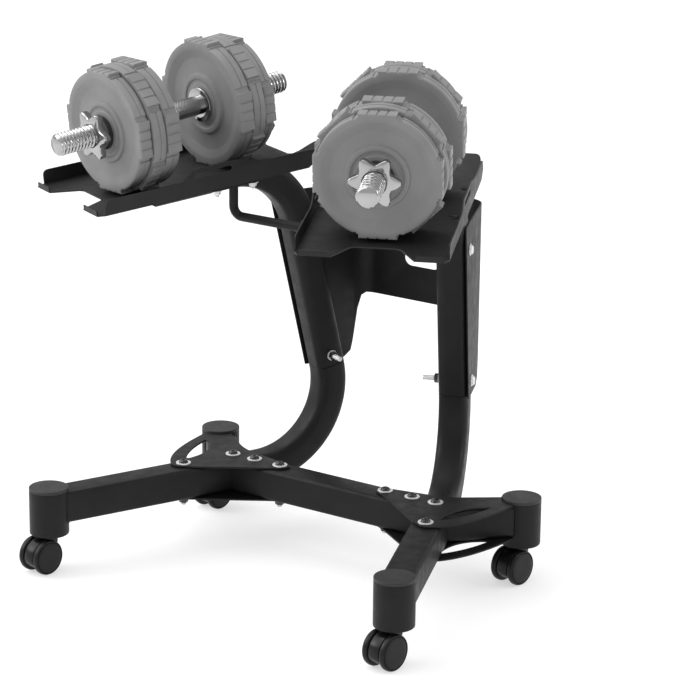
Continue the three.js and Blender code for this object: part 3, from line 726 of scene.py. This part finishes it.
TRAY_U = np.array([
    -math.sin(TRAY_TOE) * math.cos(TRAY_TILT),
    math.cos(TRAY_TOE) * math.cos(TRAY_TILT),
    math.sin(TRAY_TILT),
])
TRAY_V = np.array([math.cos(TRAY_TOE), math.sin(TRAY_TOE), 0])
TRAY_UP = np.cross(TRAY_V, TRAY_U)


def on_tray(points):
    """(u, v, w) becomes the tray's corner + u U + v V + w W."""
    return TRAY_CORNER + np.asarray(points, float) @ np.array([TRAY_U, TRAY_V, TRAY_UP])


bracket_outline = rounded_box(150, 96, 10, 6) + np.array([235, 166])
bracket = cut_sheet(
    [bracket_outline], BRACKET_T, 0.8,
    lambda flat: on_tray(flat - np.array([0, 0, SHEET + GAP + BRACKET_T / 2])),
)
pair(
    "upper_post_tube",
    [both_walls(post_wall(top_path, top_outward, ease=[0, -1])), bracket],
    powder_coat, "stand", "upper_post_{side}",
)
print("upper post turns", round(math.degrees(turn), 1), "degrees")

# %% [markdown]
# ## Bent sheets: trays and back panel
# The trays and the panel are already exact as solids, but real sheet has no knife edges: each cut
# rim and each fold is slightly round, and that is what catches the light. A copy of the solid is
# welded, its flat faces are joined again, and only its sharp edges are bevelled.


# %% Softened copies of the sheet solids
def softened(name, node, rim, finish, body="stand"):
    """Copies a solid and bevels each edge that turns by more than 30 degrees."""
    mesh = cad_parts[node].data.copy()
    mesh.name = name
    mesh.materials.clear()
    soft = bmesh.new()
    soft.from_mesh(mesh)
    bmesh.ops.remove_doubles(soft, verts=soft.verts, dist=2e-6)
    bmesh.ops.dissolve_limit(
        soft, angle_limit=math.radians(0.5), verts=soft.verts, edges=soft.edges, delimit={"NORMAL"}
    )
    sharp = [
        edge for edge in soft.edges
        if len(edge.link_faces) == 2 and edge.calc_face_angle() > math.radians(30)
    ]
    bmesh.ops.bevel(
        soft, geom=sharp, offset=rim * MM, offset_type="OFFSET", segments=3, profile=0.5,
        clamp_overlap=True, affect="EDGES",
    )
    bmesh.ops.triangulate(soft, faces=[f for f in soft.faces if len(f.verts) > 4])
    return finished(name, soft, mesh, finish, body, node, 18)


for side in SIDES:
    softened(f"tray_sheet_{side}", f"tray_{side}", 0.7, tray_coat)
softened("back_panel_sheet", "back_panel", 0.6, powder_coat)

# %% [markdown]
# ## Carry handle
# A round bar hangs between the trays, bent up at both ends to plates that bolt under the tray
# floors. Its path is straight runs with rounded corners; the round section is carried along it.

# %% Handle bar and end plates
HANDLE_U, HANDLE_V, HANDLE_Z, HANDLE_R, HANDLE_BEND = 221.0, 12.0, 575.0, 7.0, 16.0
PLATE_SIZE = (86.0, 20.0, 3.0)
plate_drop = SHEET + GAP + PLATE_SIZE[2] / 2
handle_top = on_tray([HANDLE_U, HANDLE_V, -plate_drop])


def handle_bar():
    """Corners (x, z) rounded by quarter arcs, and the section's outward direction along them."""
    x, z, b = handle_top[0], HANDLE_Z, HANDLE_BEND
    right_arc, right_out = arc([x - b, z + b], b, 0, -np.pi / 2, 12)
    left_arc, left_out = arc([b - x, z + b], b, -np.pi / 2, -np.pi, 12)
    flat = np.vstack([[[x, handle_top[2]]], right_arc, left_arc, [[-x, handle_top[2]]]])
    out = np.vstack([[[1, 0]], right_out, left_out, [[-1, 0]]])
    at = np.column_stack([flat[:, 0], np.full(len(flat), handle_top[1]), flat[:, 1]])
    up = np.column_stack([out[:, 0], np.zeros(len(out)), out[:, 1]])
    across = np.broadcast_to(np.array([0.0, 1, 0]), (len(flat), 3))
    ring = circle([0, 0], HANDLE_R, 28)
    return grid(carry(ring, at, across, up), wrap=(False, True), ends=True)


end_plate = cut_sheet(
    [rounded_box(PLATE_SIZE[0], PLATE_SIZE[1], 5, 5) + np.array([HANDLE_U, HANDLE_V])],
    PLATE_SIZE[2], 0.7, lambda flat: on_tray(flat - np.array([0, 0, plate_drop])),
)
piece(
    "handle_bar_and_plates", [handle_bar(), end_plate, *mirrored([end_plate])],
    powder_coat, "stand", "carry_handle",
)

# %% [markdown]
# ## The stand's other bolts
# Two bolts pass through each panel wing and post, with a long end of thread on the inner side. Two
# hold each handle plate, and four low heads hold each tray to its bracket.

# %% Post, handle and tray bolts
panel_face = POST_W / 2 + 0.4 + SHEET
for name, (s, z), tail in (("post_bolt_low", (-2.5, 281), 25), ("post_bolt_high", (-54, 508), 12)):
    middle = POST_FOOT + s * PLANE_BACK + np.array([0, 0, z])
    bolt(
        name, middle + (panel_face + 0.1) * PLANE_SIDE, middle - (POST_W / 2 + 0.1) * PLANE_SIDE,
        PLANE_SIDE, tail, big=9.5, bright_head=True,
    )


def low_head(at, direction, r, height):
    """A shallow dome: radius r cos a, height sin a."""
    a = np.linspace(0, np.pi / 2, 8)
    profile = np.column_stack([height * np.sin(a), r * np.cos(a)])
    return lathe(np.vstack([[[0, 0]], profile]), at, direction, 36)


def tray_bolt(name, u, v, under, finish):
    """A low head on the tray's floor, and a washer, a nut and thread under what it clamps."""
    top, bottom = on_tray([u, v, 0.05]), on_tray([u, v, -under])
    pair(f"{name}_head", [low_head(top, TRAY_UP, 7, 2.6)], finish, "stand")
    bright = [
        washer(bottom, -TRAY_UP, 8.5, 3.2, 1.5),
        hex_nut(bottom - 1.5 * TRAY_UP, -TRAY_UP, 10, 5.2, 3),
        thread_end(bottom - 2 * TRAY_UP, -TRAY_UP, 8.5, 3, 1),
    ]
    pair(f"{name}_nut", bright, zinc_plate, "stand")


for name, u in (("handle_bolt_front", 190), ("handle_bolt_back", 252)):
    tray_bolt(name, u, 9, SHEET + GAP + PLATE_SIZE[2] + 0.1, zinc_plate)
for name, u, v in (
    ("bracket_bolt_a", 172, 152), ("bracket_bolt_b", 172, 204),
    ("bracket_bolt_c", 298, 152), ("bracket_bolt_d", 298, 204),
):
    tray_bolt(name, u, v, SHEET + GAP + BRACKET_T + 0.1, powder_coat)

# %% [markdown]
# ## Casters
# Each caster is a moulded body on a steel stem, with a wheel on each side of it. A wheel is turned
# from its half section: a rounded tread, a thin groove, and a smooth cover disc. The body is a
# hood as thick as the gap between the wheels, with a round neck and an axle boss.

# %% Caster shapes in their own frame
WHEEL_R, TRAIL, HOOD_T, WHEEL_T = 28.0, 19.0, 20.0, 11.0
CASTER_TURN = math.radians(-7.5)
axle = np.array([0, -TRAIL, WHEEL_R])
inner = HOOD_T / 2 + 1
outer = inner + WHEEL_T
wheel_profile = fillet(
    [
        [inner, 0], [inner, 23], [inner + 0.8, WHEEL_R - 1], [inner + 3, WHEEL_R],
        [outer - 4, WHEEL_R], [outer - 1.2, WHEEL_R - 1.2], [outer - 0.8, 25.4], [outer - 2.4, 25],
        [outer - 2.4, 24.2], [outer - 0.9, 23.8], [outer - 0.2, 19], [outer, 0],
    ],
    [1, 1, 1, 2, 2, 1, 0.4, 0.2, 0.2, 0.8, 3, 1],
    4,
    closed=False,
)
AXLE_R = 3.0
axle_end = inner + 1
axle_profile = [[-axle_end, 0], [-axle_end, AXLE_R], [axle_end, AXLE_R], [axle_end, 0]]
wheels = [
    lathe(wheel_profile, axle, [1, 0, 0], 72),
    lathe(wheel_profile, axle, [-1, 0, 0], 72),
    lathe(axle_profile, axle, [1, 0, 0], 24),
]
hood_outline = fillet(
    [
        [9, 58], [9, 46], [5, 33], [-5, 14], [-35, 11], [-44, 18.8], [-46, 28], [-42.4, 41.5],
        [-32.5, 51.4], [-20, 55.5], [-8, 58],
    ],
    [1, 5, 4, 5, 4, 5, 6, 6, 6, 6, 4],
    5,
)
hood = cut_sheet(
    [hood_outline], HOOD_T, 1.6,
    lambda flat: np.column_stack([flat[:, 2], flat[:, 0], flat[:, 1]]),
)
neck_profile = fillet(
    [[51, 0], [51, 8], [54, 10], [59.7, 10], [59.7, 5], [80, 5], [80, 0]], 0.8, 3, closed=False
)
BOSS_R = 9.0
boss_half = HOOD_T / 2 + 0.7
boss_profile = [[-boss_half, 0], [-boss_half, BOSS_R], [boss_half, BOSS_R], [boss_half, 0]]
body_shells = [
    hood,
    lathe(neck_profile, [0, 0, 0], [0, 0, 1], 40),
    lathe(fillet(boss_profile, 0.6, 3, closed=False), axle, [1, 0, 0], 36),
]


def turned_to(at, shells):
    """Each shell turned by the caster's swivel angle and moved under its cup."""
    c, s = math.cos(CASTER_TURN), math.sin(CASTER_TURN)
    spin = np.array([[c, s, 0], [-s, c, 0], [0, 0, 1]])
    return [(points @ spin + np.array([*at, 0]), quads, lids) for points, quads, lids in shells]


for end, cup in (("front", FRONT_CUP), ("back", BACK_CUP)):
    for side, sign in (("right", 1), ("left", -1)):
        corner = f"{end}_{side}"
        at = cup * np.array([sign, 1])
        piece(
            f"caster_moulding_{corner}", turned_to(at, body_shells), caster_nylon,
            f"caster_{corner}", f"caster_body_{corner}",
        )
        piece(
            f"wheel_pair_{corner}", turned_to(at, wheels), wheel_nylon,
            f"wheels_{corner}", f"caster_wheels_{corner}",
        )

# %% [markdown]
# ## Dumbbell bars
# A bar is chromed steel: a knurled grip between two collars, and a coarse round-topped thread on
# both ends. The thread is one grid, where the radius falls and rises with the distance along the
# bar less the turn round it. That gives a true helix, and the bump map stays free for polish.

# %% Bar surfaces
BELL_U, TRAY_W, BELL_REST = 178.0, 222.0, 98.5
BAR_HALF, GRIP_HALF, GRIP_R, COLLAR_T, COLLAR_R, THREAD_R = 215.0, 50.0, 15.0, 6.0, 27.0, 17.0
BELL_SKEW = {"right": 0.0, "left": math.radians(10)}
THREAD_PITCH = 6.0
bell_middle = on_tray([BELL_U, TRAY_W / 2, BELL_REST])


def bells(name, shells, flip, finish, body, stands_for=None, crease=30):
    """(x, y, z) becomes middle + x X + y Y + z Z, on each tray; flip -1 turns it end for end."""
    for side, turned in SIDES.items():
        c, s = math.cos(BELL_SKEW[side]), math.sin(BELL_SKEW[side])
        laid = np.array([c * TRAY_U + s * TRAY_V, c * TRAY_V - s * TRAY_U, TRAY_UP])
        placed = [
            (bell_middle + (points * [flip, flip, 1]) @ laid, quads, lids)
            for points, quads, lids in shells
        ]
        node = stands_for.format(side=side) if stands_for else None
        piece(f"{name}_{side}", turned(placed), finish, body.format(side=side), node, crease)


def ringed(x, radius, turn):
    """Rings round the bar: (x, r cos a, r sin a)."""
    return np.stack([x + 0 * radius, radius * np.cos(turn), radius * np.sin(turn)], -1)


def thread_shell():
    """radius = 17 less 2.4 where cos(2 pi (x / pitch) - a) is low, cut by a cone at the end."""
    x = np.linspace(GRIP_HALF + COLLAR_T - 0.5, BAR_HALF, 25 * 9)[:, None]
    a = np.linspace(0, 2 * np.pi, 48, endpoint=False)[None, :]
    wave = 0.5 + 0.5 * np.cos(2 * np.pi * x / THREAD_PITCH - a)
    radius = THREAD_R - 2.4 * (1 - np.clip(wave * 1.5 - 0.05, 0, 1))
    radius = np.minimum(radius, THREAD_R - 3 + (BAR_HALF - x) * 1.0)
    return grid(ringed(x, radius, a), wrap=(False, True), ends=True)


def knurled_grip():
    """radius = 14.5 + 0.4 * (two crossing saw waves multiplied), fading out at both ends."""
    x = np.linspace(-GRIP_HALF, GRIP_HALF, 221)[:, None]
    a = np.linspace(0, 2 * np.pi, 160, endpoint=False)[None, :]
    one = np.abs((x / 3 + a * 20 / np.pi / 2) % 1 - 0.5) * 2
    two = np.abs((x / 3 - a * 20 / np.pi / 2) % 1 - 0.5) * 2
    fade = np.clip((GRIP_HALF - 4 - np.abs(x)) / 2, 0, 1)
    radius = GRIP_R - 0.5 + fade * 0.45 * np.minimum(one, two)
    return grid(ringed(x, radius, a), wrap=(False, True), ends=True)


collar_profile = fillet(
    [
        [GRIP_HALF, 12], [GRIP_HALF, 20], [GRIP_HALF + 1.5, COLLAR_R - 1],
        [GRIP_HALF + 2, COLLAR_R], [GRIP_HALF + COLLAR_T, COLLAR_R], [GRIP_HALF + COLLAR_T, 12],
    ],
    [0.5, 1.5, 1, 1, 0.8, 0.5],
    4,
)
def end_for_end(shell):
    """x and y change sign."""
    points, quads, lids = shell
    return points * [-1, -1, 1], quads, lids


bar_end = [thread_shell(), lathe(collar_profile, [0, 0, 0], [1, 0, 0], 64, closed=True)]
bells(
    "bar_thread_and_collar", [*bar_end, *map(end_for_end, bar_end)], 1,
    chrome_plate, "dumbbell_{side}", "dumbbell_bar_{side}", crease=50,
)
bells("bar_grip", [knurled_grip()], 1, chrome_plate, "dumbbell_{side}", crease=60)

# %% [markdown]
# ## Plates
# The plates are moulded shells with stepped rings on their faces and four flat pads on the rim,
# which keep the dumbbell from rolling. A plate is one grid: round it, and through its half
# section from the bore over the rim and back. Near the rim the radius follows the outline with its
# pads, grooves and notches, and towards the hub it becomes a true circle.

# %% Plate outline and section
PAD_RISE, PAD_HALF = 1.0, 17.0
PLATES = {"inner": (26.0, 97.0, 0.0), "middle": (24.0, 97.0, 45.0), "outer": (22.0, 92.0, 0.0)}
STEP = 0.25
GROOVES = np.array([-8.5, 0.0, 8.5])
GROOVE_HALF = 0.8
NOTCH_START, NOTCH_END = 19.5, 22.5


def rim_outline(rim):
    """Angles in degrees round a plate, radius there, and 1 where it is clear of the pads."""
    edges = [at + d for at in (PAD_HALF, NOTCH_START, NOTCH_END) for d in (-STEP, STEP)]
    edges += [mark + d for mark in GROOVES for d in (-GROOVE_HALF - STEP, -GROOVE_HALF + STEP)]
    local = np.unique(np.concatenate([np.arange(-45, 45, 1.5), edges, np.negative(edges)]))
    angle = np.concatenate([local + quarter for quarter in (0, 90, 180, 270)])
    signed = (angle + 45) % 90 - 45
    from_pad = np.abs(signed)
    on_pad = from_pad < PAD_HALF
    pad = (rim + PAD_RISE) / np.cos(np.radians(signed))
    in_groove = np.abs(signed[:, None] - GROOVES).min(1) < GROOVE_HALF
    radius = np.where(on_pad, pad - 1.3 * in_groove, rim)
    in_notch = (from_pad > NOTCH_START) & (from_pad < NOTCH_END)
    clear = (from_pad > NOTCH_END).astype(float)
    return np.radians(angle), radius - 1.5 * in_notch, clear


def plate_section(thick, rim, seam):
    """Rows of (x, radius, outline share, seam depth) from the bore over the rim to the bore."""
    face = [
        (0.6, 17.6, 0, 0), (0, 18.6, 0, 0), (0, 31, 0, 0), (0.3, 32, 0, 0), (1.7, 33, 0, 0),
        (1.9, 34, 0, 0), (1.9, 37.5, 0, 0), (1.6, 38.3, 0, 0), (0.6, 39.5, 0, 0), (0.4, 41, 0, 0),
        (0.4, 44.5, 0, 0), (0.8, 46, 0, 0), (4.6, 48, 0, 0), (5, 50, 0, 0), (5, 0.74 * rim, 0, 0),
        (4.7, 0.75 * rim, 0, 0), (0.8, 0.87 * rim, 0, 0), (0.3, 0.885 * rim, 0, 0), (0.3, rim - 5, 0, 0),
        (0.4, rim - 2.6, 0.7, 0), (0.8, rim - 1.2, 1, 0), (1.6, rim - 0.3, 1, 0), (2.4, rim, 1, 0),
    ]
    half = thick / 2
    middle = [
        (half + d, rim, 1, depth) for d, depth in ((-1.5, 0), (-1, seam), (1, seam), (1.5, 0))
    ]
    back = [(thick - x, r, share, depth) for x, r, share, depth in reversed(face)]
    return np.array(face + middle + back, float)


def plate_shell(kind, start):
    """radius = row radius + share * (outline - rim) - depth * clear, turned by the plate's turn."""
    thick, rim, turn = PLATES[kind]
    angle, outline, clear = rim_outline(rim)
    x, radius, share, depth = plate_section(thick, rim, 1.0).T[:, :, None]
    radius = radius + share * (outline - rim)[None, :] - depth * clear[None, :]
    return grid(ringed(start + x, radius, angle + math.radians(turn)), wrap=(True, True))


# %% Plates, lock rings and star nuts
RING_T, RING_R = 6.0, 26.0
STAR_T, STAR_TIP, STAR_VALLEY, STAR_HUB, LOBES = 19.0, 39.0, 27.0, 7.0, 6


def star_shell(start):
    """radius = valley + (tip - valley) |cos 3a|^2.6 on the star rows, and round on the hub rows."""
    a = np.linspace(0, 2 * np.pi, 360, endpoint=False)[None, :]
    lobe = np.abs(np.cos(a * LOBES / 2)) ** 2.6
    outline = STAR_VALLEY + (STAR_TIP - STAR_VALLEY) * lobe - 0.6
    rows = np.array([
        (0, 17.5, 0, 0), (0, 22, 0, 0), (0.5, 24.4, 0, 0), (STAR_HUB - 0.6, 24.8, 0, 0),
        (STAR_HUB, 25.2, 0, 0.0), (STAR_HUB, 0, 1, -1.6), (STAR_HUB + 0.5, 0, 1, -0.5),
        (STAR_HUB + 1.6, 0, 1, 0), (STAR_T - 2.4, 0, 1, 0), (STAR_T - 1.1, 0, 1, -0.5),
        (STAR_T - 0.4, 0, 1, -1.8), (STAR_T - 0.1, 22.5, 0, 0), (STAR_T, 21, 0, 0),
        (STAR_T, 18.6, 0, 0), (STAR_T - 1, 17.5, 0, 0),
    ])
    x, fixed, share, inset = rows.T[:, :, None]
    return grid(ringed(start + x, fixed + share * (outline + inset), a), wrap=(True, True))


for end, flip in (("back", 1), ("front", -1)):
    x = GRIP_HALF + COLLAR_T + GAP
    for kind, (thick, _, _) in PLATES.items():
        bells(
            f"plate_shell_{kind}_{end}", [plate_shell(kind, x)], flip, plate_plastic,
            f"plate_{kind}_{end}_" + "{side}", f"plate_{kind}_{end}_" + "{side}",
        )
        x += thick + GAP
    ring_profile = fillet(
        [[x, 17.4], [x, RING_R], [x + RING_T, RING_R], [x + RING_T, 17.4]], [0.5, 1.8, 1.8, 0.5], 4
    )
    ring = lathe(ring_profile, [0, 0, 0], [1, 0, 0], 56, closed=True)
    bells(
        f"rubber_ring_{end}", [ring], flip, ring_rubber,
        f"ring_{end}_" + "{side}", f"lock_ring_{end}_" + "{side}",
    )
    x += RING_T + GAP
    bells(
        f"star_nut_casting_{end}", [star_shell(x)], flip, chrome_plate,
        f"star_{end}_" + "{side}", f"star_nut_{end}_" + "{side}", crease=40,
    )

# %% [markdown]
# ## Stage, light and camera
# The object stands on a white floor that glows a little, so that its shadows stay faint. A soft
# white sky fills the dark steel, wide daylight from the left models it, and broad lamps above and
# to the sides draw its edges. A long lens keeps the uprights nearly parallel.

# %% Floor
FLOOR_HALF = 30.0
floor_mesh = bpy.data.meshes.new("floor")
floor_mesh.from_pydata(
    [(x * FLOOR_HALF, y * FLOOR_HALF, 0) for x, y in ((-1, -1), (1, -1), (1, 1), (-1, 1))],
    [], [(0, 1, 2, 3)],
)
floor = bpy.data.objects.new("floor", floor_mesh)
bpy.context.scene.collection.objects.link(floor)
floor_paint = bpy.data.materials.new("floor_white")
floor_paint.use_nodes = True
floor_shader = floor_paint.node_tree.nodes["Principled BSDF"]
floor_shader.inputs["Base Color"].default_value = (0.5, 0.5, 0.5, 1)
floor_shader.inputs["Emission Color"].default_value = (1, 1, 1, 1)
floor_shader.inputs["Emission Strength"].default_value = 0.55
floor_shader.inputs["Roughness"].default_value = 0.9
floor_shader.inputs["Specular IOR Level"].default_value = 0.1
floor_mesh.materials.append(floor_paint)

# %% Sky and lamps
sky = bpy.data.worlds.new("white_sky")
sky.use_nodes = True
sky.node_tree.nodes["Background"].inputs["Color"].default_value = (1, 1, 1, 1)
sky.node_tree.nodes["Background"].inputs["Strength"].default_value = 0.7
bpy.context.scene.world = sky
bpy.context.scene.view_settings.view_transform = "Standard"


def lamp(name, at, target, size, power, kind="AREA"):
    """A lamp that faces its target; `size` is in metres, or in degrees for daylight."""
    light = bpy.data.lights.new(name, kind)
    if kind == "AREA":
        light.size = size
    else:
        light.angle = math.radians(size)
    light.energy = power
    holder = bpy.data.objects.new(name, light)
    facing = axes_for(np.asarray(at, float) - np.asarray(target, float))
    pose = np.eye(4)
    pose[:3, :3] = facing.T
    pose[:3, 3] = at
    holder.matrix_world = Matrix(pose)
    bpy.context.scene.collection.objects.link(holder)


lamp("daylight", (-2.25, -1.05, 3.3), (0, 0, 0), 70, 1.8, "SUN")
lamp("overhead", (0.2, 0.2, 3.2), (0, 0, 0.4), 2.6, 15)
lamp("left_window", (-2.6, -1.8, 1.9), (0, 0, 0.45), 1.6, 30)
lamp("right_window", (2.8, 1.2, 1.6), (0, 0, 0.45), 1.2, 20)

# %% Camera
camera_data = bpy.data.cameras.new("camera")
camera_data.sensor_width = 36.0
camera_data.lens = 151.416
camera_data.clip_end = 100
camera = bpy.data.objects.new("camera", camera_data)
azimuth, elevation, roll = math.radians(34.537), math.radians(16.757), math.radians(0.697)
back = np.array([
    math.sin(azimuth) * math.cos(elevation),
    -math.cos(azimuth) * math.cos(elevation),
    math.sin(elevation),
])
level = np.array([math.cos(azimuth), math.sin(azimuth), 0])
upward = np.cross(back, level)
right = math.cos(roll) * level + math.sin(roll) * upward
upward = math.cos(roll) * upward - math.sin(roll) * level
camera_pose = np.eye(4)
camera_pose[:3, 0], camera_pose[:3, 1], camera_pose[:3, 2] = right, upward, back
camera_pose[:3, 3] = (2.51537, -3.55554, 1.6686)
camera.matrix_world = Matrix(camera_pose)
bpy.context.scene.collection.objects.link(camera)
bpy.context.scene.camera = camera
